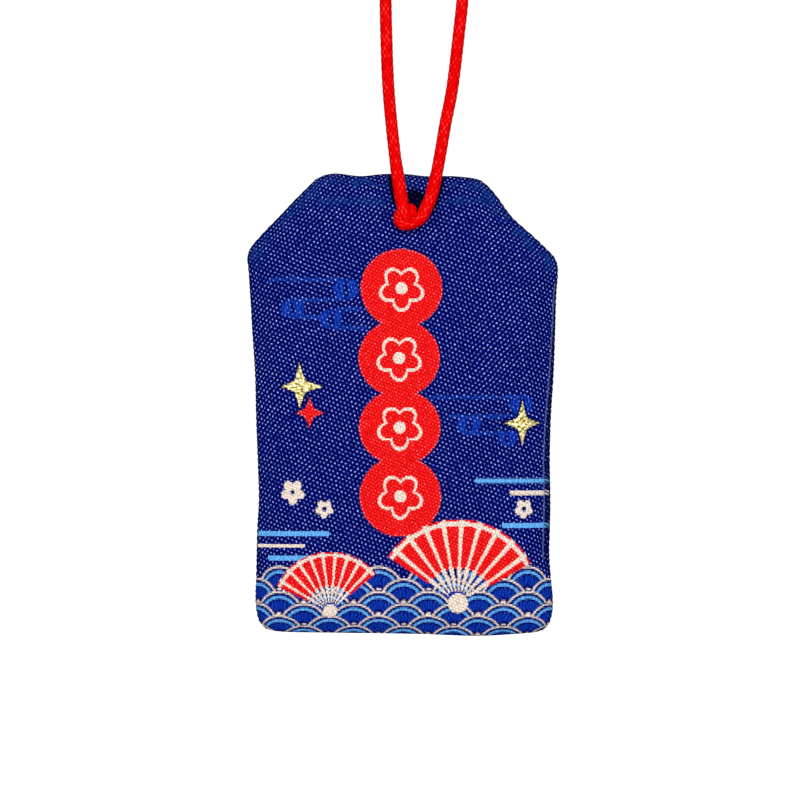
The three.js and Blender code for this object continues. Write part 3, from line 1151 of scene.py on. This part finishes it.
class CHARM_OT_pouch(bpy.types.Operator):
    """Sews the brocade pouch from two panels, folded below, seamed at the sides and hemmed at the mouth"""

    bl_idname = "charm.pouch"
    bl_label = "Brocade pouch"

    def execute(self, context):
        pouch = self.sew()
        self.settle(context.scene, pouch)
        self.refine(pouch)
        finish_piece(pouch, brocade_material(), "brocade", "brocade_pouch")
        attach(pouch, "pouch")
        return {"FINISHED"}

    def sew(self):
        """Two grids of cloth, joined where they meet at the fold, the seams and inside the mouth."""
        step = mm("cloth_step")
        columns, rows = (int(span / step) + 2 * len(SIDE_TURN) for span in CLOTH_SPAN)
        panel = PouchPanel(pouch_outline(), columns, rows)
        count = rows * columns
        index = np.arange(count).reshape(rows, columns)
        border = np.zeros((rows, columns), bool)
        border[[0, -1], :] = True
        border[:, [0, -1]] = True
        back = np.where(border, index, 0)
        back[~border] = count + np.arange((~border).sum())
        place = panel.place.reshape(-1, 2)
        depth = panel.depth.ravel()
        front_points = np.column_stack([place[:, 0], -depth, place[:, 1] + POUCH_TOP])
        inner = ~border.ravel()
        back_points = np.column_stack([place[:, 0], depth, place[:, 1] + POUCH_TOP])[inner]
        flat = panel.flat.reshape(-1, 2) / CLOTH_UV
        faces, uv = [], []
        for row in range(rows - 1):
            for column in range(columns - 1):
                cell = [(row + up, column + over) for up, over in CELL_CORNERS]
                faces.append([index[at] for at in cell])
                uv += [flat[index[at]] for at in cell]
                faces.append([back[at] for at in reversed(cell)])
                uv += [flat[index[at]] * (-1, 1) + (BACK_SHIFT, 0) for at in reversed(cell)]
        pouch = add_mesh("brocade_cloth", np.vstack([front_points, back_points]), faces, uv)
        held = pouch.vertex_groups.new(name="held")
        near, _ = knot_distance(place)
        hold = np.maximum(panel.rim.ravel(), np.clip((TIED_REACH - near) / 4, 0, 1))
        for vertex, weight in enumerate(np.concatenate([hold, hold[inner]])):
            held.add([vertex], float(weight), "REPLACE")
        return pouch

    def settle(self, scene, pouch):
        """Lets the cloth swell a little over its filling, with its seams and the tied place held."""
        start = read_points(pouch)
        write_points(pouch, start * SETTLE_SCALE)
        cloth = pouch.modifiers.new("settle", "CLOTH")
        settings = cloth.settings
        settings.quality = 6
        settings.mass = 0.4
        settings.tension_stiffness = 12
        settings.compression_stiffness = 12
        settings.shear_stiffness = 4
        settings.bending_stiffness = 0.4
        settings.vertex_group_mass = "held"
        settings.use_pressure = True
        settings.uniform_pressure_force = 2.0
        settings.shrink_min = -0.006
        settings.effector_weights.gravity = 0
        cloth.collision_settings.use_collision = False
        cloth.point_cache.frame_end = SETTLE_FRAMES
        for number in range(1, SETTLE_FRAMES + 1):
            scene.frame_set(number)
        make_active(pouch)
        bpy.ops.object.modifier_apply(modifier=cloth.name)
        scene.frame_set(1)
        moved = read_points(pouch) / SETTLE_SCALE - start
        length = np.linalg.norm(moved, axis=1)[:, None]
        cap = mm("swell_cap")
        write_points(pouch, start + moved * cap * np.tanh(length / cap) / np.maximum(length, 1e-9))

    def refine(self, pouch):
        """Doubles the points, then presses in the hem, the tied place and the puckers along the seams."""
        smooth = pouch.modifiers.new("smooth", "SUBSURF")
        smooth.levels = 1
        smooth.render_levels = 1
        make_active(pouch)
        bpy.ops.object.modifier_apply(modifier=smooth.name)
        points = read_points(pouch)
        drawing = points[:, [0, 2]] - (0, POUCH_TOP)
        distance, _ = nearest_edge(drawing, outline_loop(pouch_outline()))
        across, height = drawing.T
        side = np.sign(points[:, 1])
        panel = np.clip(np.abs(points[:, 1]) - 0.9, 0, 1)
        wander = 0.25 * np.sin(0.31 * across + 1.0) + 0.12 * np.sin(0.83 * across)
        hem = np.exp(-((height + 4.5 + wander) / 0.45) ** 2) * np.clip((across + 30) / 10, 0, 1)
        pucker = np.sin(1.25 * height + 0.9 * np.sin(0.37 * height + side)) * np.exp(-distance / 2.2)
        wave = np.sin(0.42 * across + 0.21 * height + side) * np.sin(0.33 * height - 0.17 * across)
        near, turn = knot_distance(drawing)
        dimple = np.exp(-((near / 4.2) ** 2))
        between = (across - KNOT[0] - 1.7) / 1.9
        above = (height - KNOT[2] + POUCH_TOP - 2.7) / 2.4
        pocket = np.exp(-(between**2) - above**2)
        crease = crease_share(drawing) * np.clip(above * 2 + 2.5, 0, 1) * (side < 0)
        pleat = np.cos(7 * turn + 0.6) * np.exp(-(((near - 6.5) / 3) ** 2))
        drop = HEM_DEPTH * hem + PUCKER_DEPTH * pucker - SWELL_HEIGHT * wave + DIMPLE_DEPTH * dimple
        drop += POCKET_DEPTH * pocket + PLEAT_DEPTH * pleat + CREASE_DEPTH * crease
        tooth = np.sin(5.7 * height + 1.3 * np.sin(0.9 * height)) * np.exp(-distance / 0.4)
        points[:, 0] += TOOTH_LENGTH * np.sign(across) * tooth * (np.abs(across) > 13)
        depth = np.abs(points[:, 1])
        points[:, 1] = side * np.maximum(depth - panel * drop, np.minimum(depth, FILLING_DEPTH))
        write_points(pouch, points)
        # How far the cloth is pressed into the pocket between the strands and the crease beside the left
        # strand, kept for the painted shade there.
        pressed = np.maximum(np.clip(1.4 * pocket, 0, 1) * (side < 0), 0.85 * crease)
        for name, values in (("edge_distance", distance), ("pressed_in_shade", pressed)):
            layer = pouch.data.attributes.new(name, "FLOAT", "POINT")
            layer.data.foreach_set("value", values.astype(np.float32))


# Brocade

def oval(x, z, centre, across, up):
    return length_of(x - centre[0], (z - centre[1]) * (across / up)) - across


def bar(x, z, start, end, level, half):
    """A level bar with round ends."""
    over = (abs(x - (start + end) / 2) - (end - start) / 2).most(0.0)
    return length_of(over, z - level) - half


def curl(x, z, centre, radius):
    """A curl of cloud: a loop that is thick at its sides and thin above and below."""
    hole = oval(x, z, centre, 0.24 * radius, 0.62 * radius)
    loop = oval(x, z, centre, radius, 0.92 * radius).most(-hole).inside(0.25)
    return loop * ((abs(z - centre[1]) / radius).rise(0.5, 0.95) * 0.75).flipped()


def sparkle(x, z, centre, reach, waist):
    """A star of four hollow-sided points."""
    left, right, top, bottom = reach
    over, up = x - centre[0], z - centre[1]
    over = (over / right).most(over / -left)
    up = (up / top).most(up / -bottom)
    out, aside = over.most(up), over.least(up)
    side = (out.flipped() / (1 - waist)).most(0.0) ** 1.35 * waist
    return (aside - side - 0.012).most(out - 1.0) * right


def blossom(x, z, centre, radius):
    """Five round petals."""
    over, up = x - centre[0], z - centre[1]
    petals = abs((up.math("ARCTAN2", over) * 2.5 + 0.785).math("COSINE"))
    return length_of(over, up) - (petals * 0.35 + 0.65) * radius


def joined(shapes):
    shapes = list(shapes)
    whole = shapes[0]
    for shape in shapes[1:]:
        whole = whole.least(shape)
    return whole


def fan_masks(x, z, centre, radius, start, end):
    """An open fan's whole leaf, its pale pleats and its sticks, as masks."""
    over, up = x - centre[0], z - centre[1]
    out = length_of(over, up)
    angle = up.math("ARCTAN2", over)
    spread = (angle - start).least(-(angle - end))
    leaf = (out - radius).most(-(out - radius * 0.42)).most(-(spread * radius * 0.7))
    pleat = abs(((angle - start) / (end - start) * 9.0).math("FRACT") - 0.5)
    sticks = (out - radius * 0.44).most(-(spread * radius * 0.3)).most(-(out - radius * 0.15))
    stick_line = pleat - 0.28
    rim = abs(out - radius * 0.95) - radius * 0.025
    pale = (pleat - 0.13).least(rim)
    whole = leaf.inside()
    ribs = (sticks.inside() * stick_line.rise(-0.05, 0.05).flipped()).most((out - radius * 0.12).inside())
    return whole, whole * pale.rise(-0.03, 0.03).flipped(), ribs


def brocade_material():
    """Jacquard cloth: a dotted navy ground with discs, stars, clouds and a border of fans woven in."""
    material, tree, shader = new_material("jacquard_brocade", 0.6, 0.01)
    over, up = lay_fields(tree)
    x, z = over * CLOTH_UV, up * CLOTH_UV
    place = object_place(tree)
    weave = weave_fields(tree, x, z, place)
    dots, rib, fine = weave["dots"], weave["rib"], weave["fine"]
    edge = attribute_field(tree, "edge_distance")
    # How far the cloth is pressed into the pocket and the crease, which take painted shade.
    pressed = attribute_field(tree, "pressed_in_shade")

    # The design is woven in steps of whole picks and ends, each pick a little out of line.
    pick = (z / PICK).math("FLOOR")
    jag = (pick * 12.9898).scatter() - 0.5
    px = ((x + jag * 0.15) / END).math("FLOOR") * END + END / 2
    pz = pick * PICK + PICK / 2

    paint = ground_paint(tree, weave, edge, z)
    shade = (weave["wavy"] * 0.6 + weave["speckle"] * 0.5).least(1.0)
    cloud_yarn = blend_colours(tree, shade.rise(0.3, 1.0), (0.0003, 0.009, 0.23), tuple(colours().cloud))
    bare = dots.rise(0.7, 0.95).flipped()
    wide, high = x + weave["sway"] * 1.2, z + weave["sway"] * 0.8
    lines = joined(bar(wide, high, *shape) for shape in CLOUD_BARS).inside(0.3)
    broken = weave["speckle"].rise(0.38, 0.6) * 0.65 + 0.2
    paint = blend_colours(tree, lines * bare * broken, paint, (0.004, 0.045, 0.4))
    clouds = sum((curl(wide, high, *shape) for shape in CLOUD_CURLS[1:]), curl(wide, high, *CLOUD_CURLS[0]))
    paint = blend_colours(tree, clouds * (bare * 0.5 + 0.5), paint, cloud_yarn)

    border = border_masks(px, pz)
    paint = blend_colours(tree, border["deep"] * 0.8, paint, (0.0002, 0.003, 0.13))
    paint = blend_colours(tree, border["cloud"] * 0.9, paint, cloud_yarn)
    sky_yarn = ramp_colours(tree, shade * 0.6 + weave["speckle"] * 0.5, (
        (0.15, (0.035, 0.13, 0.42)),
        (0.4, tuple(colours().sky)),
        (0.85, (0.2, 0.52, 0.98)),
    ))
    paint = blend_colours(tree, border["sky"], paint, sky_yarn)

    golds = joined(sparkle(px, pz, *star) for star in GOLD_STARS)
    small_star = sparkle(px, pz, *RED_STAR)
    discs = joined(oval(px, pz, centre, DISC_HALF_WIDTH, half_height) for centre, half_height in DISCS)
    margin = (golds.least(small_star) - 0.4).least(discs - 0.3).inside(0.15)
    paint = blend_colours(tree, margin * 0.8, paint, tuple(colours().ground))
    reds = discs.least(small_star).inside().most(border["red"])
    paint = blend_colours(tree, reds, paint, red_paint(tree, weave))
    rim = (abs(discs.least(small_star + 0.06) + 0.08) - 0.14).inside(0.06)
    rim = rim * weave["red_dots"].rise(0.35, 0.7)
    paint = blend_colours(tree, rim * 0.5, paint, (0.85, 0.42, 0.55))

    crests = joined(abs(blossom(px, pz, centre, 4.0)) - 0.3 for centre, _ in DISCS)
    crests = crests.least(joined(oval(px, pz, centre, 1.1, 1.1) for centre, _ in DISCS)).inside()
    creams = border["cream"].most(crests)
    cream_yarn = ramp_colours(tree, weave["red_dots"] * 0.4 + weave["speckle"] * 0.65, (
        (0.2, (0.4, 0.32, 0.23)),
        (0.36, (0.7, 0.56, 0.45)),
        (0.52, (0.89, 0.75, 0.65)),
        (0.75, (1.0, 0.95, 0.93)),
    ))
    paint = blend_colours(tree, creams, paint, cream_yarn)

    golds = golds.inside()
    paint = blend_colours(tree, golds, paint, gold_paint(tree, x, z, weave))
    paint = sewn_edge(tree, paint, x, z, edge, fine)
    # Painted shade, near black, where the cloth is pressed into the pocket between the strands and the
    # crease beside the left strand.
    paint = blend_colours(tree, pressed.rise(0.25, 0.8) * 0.95, paint, (0.0, 0.0002, 0.008))
    tree.links.new(paint, shader.inputs["Base Color"])
    tree.links.new((golds * 0.4).socket, shader.inputs["Metallic"])
    tree.links.new((golds * -0.2 - dots * 0.12 + 0.66).socket, shader.inputs["Roughness"])
    raised = (reds + creams + golds + clouds).least(1.0)
    set_bump(tree, shader, dots * 0.8 + raised * 0.4 + rib * 0.3 + fine * 0.25, 0.00009, 0.9)
    return material


def ground_paint(tree, weave, edge, z):
    """Navy ground with pale floats, lighter blue patches along the shoulders and the hem, and painted shade
    along the turned edge at the seam.
    """
    shoulder = z.rise(-19.0, -15.0) * edge.rise(0.3, 0.8) * (edge - 2.2).inside(0.9)
    hem = (abs(z + 4.7 + weave["sway"] * 1.6) - 0.5).inside(0.7)
    # Lighter blue patches along the shoulders and the hem band, with the pale dots fainter there.
    pale_patches = shoulder.most(hem) * weave["patchy"].rise(0.36, 0.64)
    paint = ramp_colours(tree, weave["dots"] * (pale_patches * 0.16).flipped(), (
        (0.0, tuple(colours().ground)),
        (0.25, (0.0005, 0.004, 0.128)),
        (0.5, (0.006, 0.022, 0.22)),
        (0.74, (0.037, 0.068, 0.37)),
        (0.9, (0.2, 0.235, 0.72)),
        (1.0, tuple(colours().float_yarn)),
    ))
    fibres = weave["speckle"].rise(0.4, 0.6) * 0.75 + weave["rib"].rise(0.25, 0.8) * 0.25
    paint = blend_colours(tree, pale_patches * fibres * 0.5, paint, (0.014, 0.085, 0.4))
    # Painted shade where the cloth turns away at its edge, near the seam.
    return blend_colours(tree, (edge - 0.2).inside(0.16) * 0.85, paint, (0.0, 0.0004, 0.02))


def red_paint(tree, weave):
    """Red weft with its own finer dots."""
    tone = weave["red_dots"] * 0.6 + (weave["speckle"] - 0.5) * 1.15 + 0.16
    return ramp_colours(tree, tone, (
        (0.0, (0.52, 0.0, 0.0)),
        (0.3, tuple(colours().red)),
        (0.6, (0.92, 0.008, 0.01)),
        (0.8, (1.0, 0.09, 0.085)),
        (1.0, (1.0, 0.25, 0.24)),
    ))


def gold_paint(tree, x, z, weave):
    """Gold thread: pale glints along level picks, olive between them."""
    along_picks = flat_vector(tree, x * 0.5, z + x * 0.12)
    blotch = noise_field(tree, along_picks, 2.4, 2.0)
    glint = blotch.rise(0.3, 0.7) * 0.75 + weave["speckle"].rise(0.35, 0.65) * 0.3
    return ramp_colours(tree, glint, (
        (0.1, (0.16, 0.11, 0.015)),
        (0.38, (0.4, 0.33, 0.1)),
        (0.66, (0.72, 0.62, 0.29)),
        (1.0, (1.0, 0.95, 0.68)),
    ))


def sewn_edge(tree, paint, x, z, edge, fine):
    """The sewn side edge: a thin pale line on the front's right, and darker ribbed cloth outside it."""
    right = x.rise(12.0, 14.0) * (x - 60.0).inside(1.0) * z.rise(-72.0, -70.0) * (z + 20.0).inside(1.5)
    inset = ((z + 20.0) * -0.0235).most(0.0).least(0.76) + 0.45
    tick = (x * 0.5 + z * 1.6).wave().rise(-0.3, 0.7)
    band = (edge - inset).inside(0.1) * right
    paint = blend_colours(tree, band * (tick * 0.55 + 0.35), paint, (0.0, 0.0006, 0.03))
    line = (abs(edge - inset) - 0.11).inside(0.09) * right * (fine * 1.6 - 0.2).least(1.0)
    return blend_colours(tree, line * 0.7, paint, (0.16, 0.24, 0.52))


def weave_fields(tree, x, z, place):
    """The weave's values: pale floats as uneven dots on a slanted lattice, ribs, waves and fibres."""
    drift_x, drift_z = noise_pair(tree, place, 140.0, 2.0)
    shake_x, shake_z = noise_pair(tree, place, 1150.0)
    over = x + drift_x * 0.7 + shake_x * 0.3
    up = z + drift_z * 0.6 + shake_z * 0.3
    slant, level = noise_pair(tree, place, 85.0, 2.0)
    slant, level = slant.rise(0.06, 0.2), level.rise(0.08, 0.24)
    striped = joined(oval(x, z, *zone) for zone in STRIPED_PLACES).inside(2.0)
    slant = slant.most(striped * 0.7)
    level = level.most(oval(x, z, *LEVEL_PLACE).inside(2.0) * 0.8) * striped.flipped()
    fine, _ = add_fibres(tree, place, 6000.0, 900.0)
    speckle = noise_field(tree, place, 2700.0, 2.0)
    bright = noise_field(tree, place, 1500.0, 1.0)
    lattice, rib = dot_lattice(over, up, slant, level)
    red_dots, _ = dot_lattice(over * 1.28, up * 1.28, slant * 0.3, level * 0.3)
    along_slant = flat_vector(tree, (x - z) * 3.6, (x + z) * 1.3)
    thread = noise_field(tree, along_slant, 1.0, 1.0).rise(0.5, 0.72)
    dots = lattice.most(0.0) ** 1.5 * (bright * 0.85 + 0.56) + (speckle - 0.5) * 0.5 + thread * 0.27
    sway, _ = noise_pair(tree, place, 650.0)
    wavy = (over * 1.9 + sway * 3.0).wave() * 0.5 + 0.5
    return {
        "dots": dots,
        "rib": rib,
        "red_dots": red_dots,
        "fine": fine,
        "patchy": noise_field(tree, place, 420.0, 3.0),
        "speckle": speckle,
        "wavy": wavy,
        "sway": sway,
    }


def dot_lattice(x, z, slant, level):
    """Three crossing sets of waves that peak in dots. slant and level draw the dots out into stripes."""
    first, rib, third = ((x * across + z * up).wave() for across, up in LATTICE)
    lattice = first * (level * 0.6 - slant * 0.5 + 1.1)
    lattice = lattice + rib * (slant * 1.1 + 0.8) + third * ((slant + level) * -0.6 + 1.1)
    return (lattice / 3.0 + 0.5) / 1.5, rib * 0.5 + 0.5


def scale_waves(x, z):
    """Rows of overlapping round scales: how far out in its scale each place is, and where any scale is."""
    across, up = x / WAVE_RADIUS, (z - WAVE_TOP) / WAVE_RADIUS
    out, covered = None, None
    row = (up * 2.0).math("FLOOR") + 2.0
    for _ in range(4):
        level = row.least(0.0)
        shift = level % 2.0
        cell = ((across + shift) / 2.0).math("FRACT") * 2.0 - 1.0
        distance = length_of(cell, up - level / 2.0)
        within = (distance - 1.0).math("LESS_THAN", 0.0)
        out = distance if out is None else out + (distance - out) * within
        covered = within if covered is None else covered.most(within)
        row = row - 1.0
    return out, covered


def border_masks(x, z):
    """The border below: scale waves, mist bars, fans and blossoms, as masks."""
    out, waves = scale_waves(x, z)
    crest = (abs(out - 0.94) - 0.035).inside(0.03) * waves
    swell = (abs(out - 0.73) - 0.05).inside(0.03) * waves
    middle = (abs(out - 0.41) - 0.17).inside(0.03) * waves
    heart = (out - 0.1).inside(0.03) * waves
    sky = joined(bar(x, z, *shape) for shape in SKY_BARS).inside()
    cream = joined(bar(x, z, *shape) for shape in CREAM_BARS)
    cream = cream.least(joined(blossom(x, z, *flower) for flower in BLOSSOMS)).inside()
    cream = cream * joined(oval(x, z, centre, 0.45, 0.45) for centre, _ in BLOSSOMS).inside().flipped()
    cream = cream.most(heart).most(crest)
    masks = {"deep": waves, "cloud": middle, "sky": sky.most(swell), "cream": cream, "red": None}
    for fan in FANS:
        whole, pale, ribs = fan_masks(x, z, *fan)
        bare = whole.most(ribs).flipped()
        for name in ("cloud", "sky", "cream"):
            masks[name] = masks[name] * bare
        masks["cream"] = masks["cream"].most(pale).most(ribs)
        masks["red"] = whole if masks["red"] is None else masks["red"].most(whole)
    return masks


# Stitches

class CHARM_OT_side_stitches(bpy.types.Operator):
    """Sews the two side seams shut with a row of small cross stitches in each"""

    bl_idname = "charm.side_stitches"
    bl_label = "Side stitches"

    def execute(self, context):
        material = thread_material()
        runs = pouch_outline()
        radius = mm("thread") / 2

        def thread_radius(angle, place):
            return np.full(np.broadcast(angle, place).shape, radius)

        for name, number in (("left_stitches", 3), ("right_stitches", 1)):
            count = int(path_length(runs[number]) / mm("stitch"))
            spread, normals = run_normals(runs, (60, count, 60, count))
            parts = []
            for place, normal in list(zip(spread[number], normals[number]))[1:-1]:
                along = np.array([-normal[1], normal[0]])
                points = []
                for inset, depth in STITCH_POINTS:
                    at = place - inset * normal + STITCH_SLANT * depth * along
                    points.append((at[0], depth, at[1] + POUCH_TOP))
                parts.append(tube_part(smooth_path(points, CORD_STEP), thread_radius, 6))
            stitches = add_mesh(name, *join_parts(parts))
            finish_piece(stitches, material, "thread", name.replace("stitches", "seam_thread"))
            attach(stitches, "pouch")
        return {"FINISHED"}


def thread_material():
    """Twisted navy sewing thread."""
    material, tree, shader = new_material("sewing_thread", 0.55, 0.3, 0.2, (0.5, 0.55, 1.0))
    around, lengthwise = lay_fields(tree)
    twist = (around * 2.0 + lengthwise * 28.0).wave() * 0.5 + 0.5
    fine, _ = add_fibres(tree, object_place(tree), 9000.0, 900.0)
    paint = blend_colours(tree, twist * (fine + 0.3), (0.004, 0.008, 0.07), (0.03, 0.05, 0.26))
    tree.links.new(paint, shader.inputs["Base Color"])
    set_bump(tree, shader, twist + fine * 0.3, 0.00005)
    return material


# Filling

class CHARM_OT_filling(bpy.types.Operator):
    """Fills the pouch: a sheet of cotton wadding, a card, and a paper slip in its folded sleeve"""

    bl_idname = "charm.filling"
    bl_label = "Filling"

    def execute(self, context):
        self.lay_wadding()
        for node, *finish in PLAIN_FILLINGS:
            mesh = frame["nodes"][node].data
            mesh.materials.clear()
            mesh.materials.append(self.fibre_material(*finish))
        return {"FINISHED"}

    def fibre_material(self, name, dark, light, scale, roughness):
        material, tree, shader = new_material(name, roughness, 0.2)
        fine, broad = add_fibres(tree, object_place(tree), scale, scale / 12)
        paint = blend_colours(tree, fine.rise(0.3, 0.7) * 0.6 + broad * 0.4, dark, light)
        tree.links.new(paint, shader.inputs["Base Color"])
        set_bump(tree, shader, fine + broad * 0.5, 0.00006)
        return material

    def lay_wadding(self):
        """A soft lumpy sheet with a rounded edge, in the place of its solid."""
        low, high = (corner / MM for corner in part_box("front_wadding"))
        columns, rows = WADDING_COLUMNS, WADDING_ROWS
        spread, normals = run_normals(pouch_outline(), (columns, rows, columns, rows))
        edges = [points - WADDING_INSET * normal for points, normal in zip(spread, normals)]
        block = fill_patch(*edges)
        across, height = block[..., 0], block[..., 1]
        distance, _ = nearest_edge(block.reshape(-1, 2), outline_loop(edges))
        swell = np.sqrt(1 - (1 - np.clip(distance / 1.5, 0, 1)) ** 2).reshape(rows, columns)
        lumps = 0.08 * np.sin(0.9 * across) * np.sin(0.8 * height)
        near, _ = knot_distance(block)
        tied = 0.95 * np.exp(-((near / TIED_REACH) ** 4))
        half = (high.y - low.y) / 2 * swell * (0.82 + lumps) * (1 - tied)
        middle = low.y * 0.4 + high.y * 0.6
        middle = middle + (high.y - middle) * tied
        layers = [np.dstack([across, middle + way * half, height + POUCH_TOP]) for way in (-1, 1)]
        count = rows * columns
        index = np.arange(count).reshape(rows, columns)
        faces = []
        for row in range(rows - 1):
            for column in range(columns - 1):
                cell = [index[row + up, column + over] for up, over in CELL_CORNERS]
                faces.append(cell)
                faces.append([count + corner for corner in reversed(cell)])
        wadding = add_mesh("cotton_wadding", np.vstack(layers).reshape(-1, 3), faces)
        make_active(wadding)
        bpy.ops.object.mode_set(mode="EDIT")
        bpy.ops.mesh.select_all(action="SELECT")
        bpy.ops.mesh.remove_doubles(threshold=1e-6)
        bpy.ops.object.mode_set(mode="OBJECT")
        cotton = self.fibre_material("cotton", (0.78, 0.75, 0.68), (0.92, 0.9, 0.85), 1800.0, 0.95)
        finish_piece(wadding, cotton, "wadding", "front_wadding")
        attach(wadding, "pouch")


# Panel and registration

class CHARM_PT_pieces(bpy.types.Panel):
    """Lists the charm's pieces in the order that they are made"""

    bl_idname = "CHARM_PT_pieces"
    bl_label = "Omamori charm"
    bl_space_type = "VIEW_3D"
    bl_region_type = "UI"
    bl_category = "Charm"

    def draw(self, context):
        for operator in OPERATORS:
            self.layout.operator(operator.bl_idname)
        for group in (context.scene.charm_sizes, context.scene.charm_colours):
            for name in group.__annotations__:
                self.layout.prop(group, name)


OPERATORS = (
    CHARM_OT_stage,
    CHARM_OT_front_hitch,
    CHARM_OT_end_knot,
    CHARM_OT_strands,
    CHARM_OT_back_bight,
    CHARM_OT_pouch,
    CHARM_OT_side_stitches,
    CHARM_OT_filling,
)
CLASSES = (CharmSizes, CharmColours, *OPERATORS, CHARM_PT_pieces)


def register():
    for kind in CLASSES:
        bpy.utils.register_class(kind)
    bpy.types.Scene.charm_sizes = PointerProperty(type=CharmSizes)
    bpy.types.Scene.charm_colours = PointerProperty(type=CharmColours)


def unregister():
    del bpy.types.Scene.charm_colours
    del bpy.types.Scene.charm_sizes
    for kind in reversed(CLASSES):
        bpy.utils.unregister_class(kind)


def main():
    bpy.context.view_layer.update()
    register()
    bpy.ops.charm.stage()
    bpy.ops.charm.front_hitch()
    bpy.ops.charm.end_knot()
    bpy.ops.charm.strands()
    bpy.ops.charm.back_bight()
    bpy.ops.charm.pouch()
    bpy.ops.charm.side_stitches()
    bpy.ops.charm.filling()


if __name__ == "__main__":
    main()
